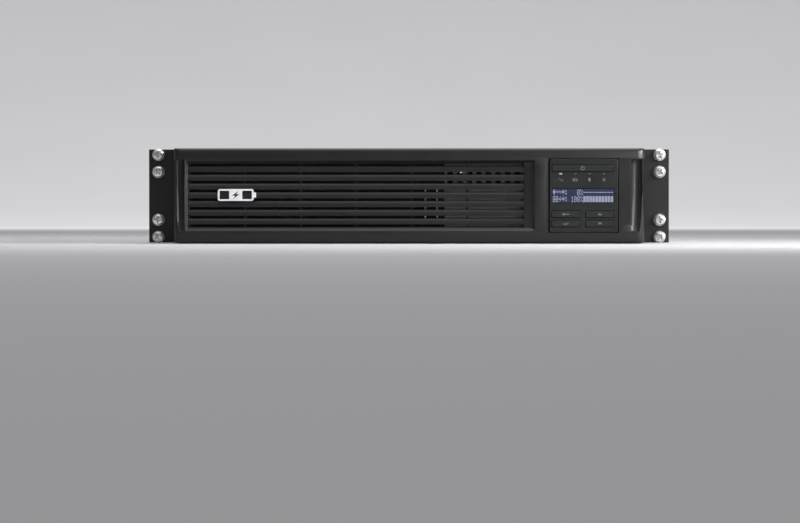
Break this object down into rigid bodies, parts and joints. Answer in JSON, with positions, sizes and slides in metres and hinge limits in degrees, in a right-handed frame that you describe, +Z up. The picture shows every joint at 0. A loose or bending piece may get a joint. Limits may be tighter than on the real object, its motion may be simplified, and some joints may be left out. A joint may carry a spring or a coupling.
{
  "type": "rack-mount uninterruptible power supply",
  "caption": "Low, wide rack-mount power backup unit with a louvred bezel, a small lit display with keys, rack ears and a pull-out battery module.",
  "frame": {"origin": "middle of the overall footprint, on the surface that the chassis stands on", "axes": "+Z up, +X to the right of someone facing the front, so the front faces -Y and the outlets face +Y"},
  "size_m": [0.4826, 0.477, 0.0878],
  "materials": {
    "bezel_plastic": "satin",
    "display_plastic": "satin",
    "key_plastic": "satin",
    "window": "gloss",
    "lcd": "satin",
    "light_pipe": "gloss",
    "black_steel": "satin",
    "zinc_steel": "satin",
    "nickel": "satin",
    "aluminium": "satin",
    "core_steel": "satin",
    "copper": "satin",
    "battery_case": "matte",
    "circuit_board": "satin",
    "connector": "satin",
    "connector_grey": "satin",
    "fan_plastic": "satin",
    "badge": "satin",
    "red_wire": "satin",
    "black_wire": "satin",
    "ribbon": "matte"
  },
  "bodies": {
    "chassis": {"chassis_pan": "black_steel", "top_cover": "black_steel", "front_panel": "zinc_steel", "rear_panel": "black_steel", "bay_divider": "zinc_steel", "rack_ear_left": "black_steel", "rack_ear_right": "black_steel", "rack_screw_1": "nickel", "rack_screw_2": "nickel", "rack_screw_3": "nickel", "rack_screw_4": "nickel", "rack_screw_5": "nickel", "rack_screw_6": "nickel", "rack_screw_7": "nickel", "rack_screw_8": "nickel", "display_housing": "display_plastic", "display_window": "window", "lcd_module": "lcd", "display_board": "circuit_board", "status_light_pipe": "light_pipe", "battery_socket": "connector_grey", "battery_cable_positive": "red_wire", "battery_cable_negative": "black_wire", "transformer_core": "core_steel", "transformer_coil": "copper", "main_board": "circuit_board", "heatsink_left": "aluminium", "heatsink_right": "aluminium", "bulk_capacitor_1": "black_wire", "bulk_capacitor_2": "black_wire", "display_ribbon_cable": "ribbon", "fan_housing_left": "fan_plastic", "fan_housing_right": "fan_plastic", "outlet_bank_left": "connector", "outlet_bank_right": "connector", "ac_inlet": "connector", "breaker_body": "connector", "accessory_slot_cover": "black_steel", "data_ports": "zinc_steel"},
    "battery_module": {"battery_tray": "zinc_steel", "battery_plate": "black_steel", "battery_block_1": "battery_case", "battery_block_2": "battery_case", "battery_block_3": "battery_case", "battery_block_4": "battery_case", "battery_plug": "connector_grey", "tray_handle": "nickel"},
    "bezel": {"bezel_frame": "bezel_plastic", "bezel_louvres": "bezel_plastic", "bezel_badge": "badge"},
    "power_button": {"power_button": "key_plastic"},
    "escape_key": {"escape_key": "key_plastic"},
    "enter_key": {"enter_key": "key_plastic"},
    "up_key": {"up_key": "key_plastic"},
    "down_key": {"down_key": "key_plastic"},
    "fan_rotor_left": {"fan_rotor_left": "fan_plastic"},
    "fan_rotor_right": {"fan_rotor_right": "fan_plastic"},
    "plate_fastener_left": {"plate_fastener_left": "nickel"},
    "plate_fastener_right": {"plate_fastener_right": "nickel"},
    "breaker_button": {"breaker_button": "connector_grey"}
  },
  "joints": [
    {"name": "battery_slide", "type": "slide", "parent": "chassis", "child": "battery_module", "axis": [0, -1, 0], "range_m": [0, 0.34]},
    {"name": "bezel_pull", "type": "slide", "parent": "battery_module", "child": "bezel", "axis": [0, -1, 0], "range_m": [0, 0.08]},
    {"name": "power_button_press", "type": "slide", "parent": "chassis", "child": "power_button", "axis": [0, 1, 0], "range_m": [0, 0.0008], "stiffness_N_per_m": 900, "springref_m": -0.0004},
    {"name": "escape_key_press", "type": "slide", "parent": "chassis", "child": "escape_key", "axis": [0, 1, 0], "range_m": [0, 0.0008], "stiffness_N_per_m": 900, "springref_m": -0.0004},
    {"name": "enter_key_press", "type": "slide", "parent": "chassis", "child": "enter_key", "axis": [0, 1, 0], "range_m": [0, 0.0008], "stiffness_N_per_m": 900, "springref_m": -0.0004},
    {"name": "up_key_press", "type": "slide", "parent": "chassis", "child": "up_key", "axis": [0, 1, 0], "range_m": [0, 0.0008], "stiffness_N_per_m": 900, "springref_m": -0.0004},
    {"name": "down_key_press", "type": "slide", "parent": "chassis", "child": "down_key", "axis": [0, 1, 0], "range_m": [0, 0.0008], "stiffness_N_per_m": 900, "springref_m": -0.0004},
    {"name": "plate_fastener_left_turn", "type": "hinge", "parent": "battery_module", "child": "plate_fastener_left", "pos_m": [-0.202, -0.2131, 0.0439], "axis": [0, 1, 0], "range_deg": [0, 90]},
    {"name": "plate_fastener_right_turn", "type": "hinge", "parent": "battery_module", "child": "plate_fastener_right", "pos_m": [0.0275, -0.2131, 0.07], "axis": [0, 1, 0], "range_deg": [0, 90]},
    {"name": "fan_rotor_left_spin", "type": "hinge", "parent": "chassis", "child": "fan_rotor_left", "pos_m": [0.077, 0.22015, 0.0429], "axis": [0, 1, 0], "continuous": true},
    {"name": "fan_rotor_right_spin", "type": "hinge", "parent": "chassis", "child": "fan_rotor_right", "pos_m": [0.163, 0.22015, 0.0429], "axis": [0, 1, 0], "continuous": true},
    {"name": "breaker_trip", "type": "slide", "parent": "chassis", "child": "breaker_button", "axis": [0, 1, 0], "range_m": [0, 0.004]}
  ]
}
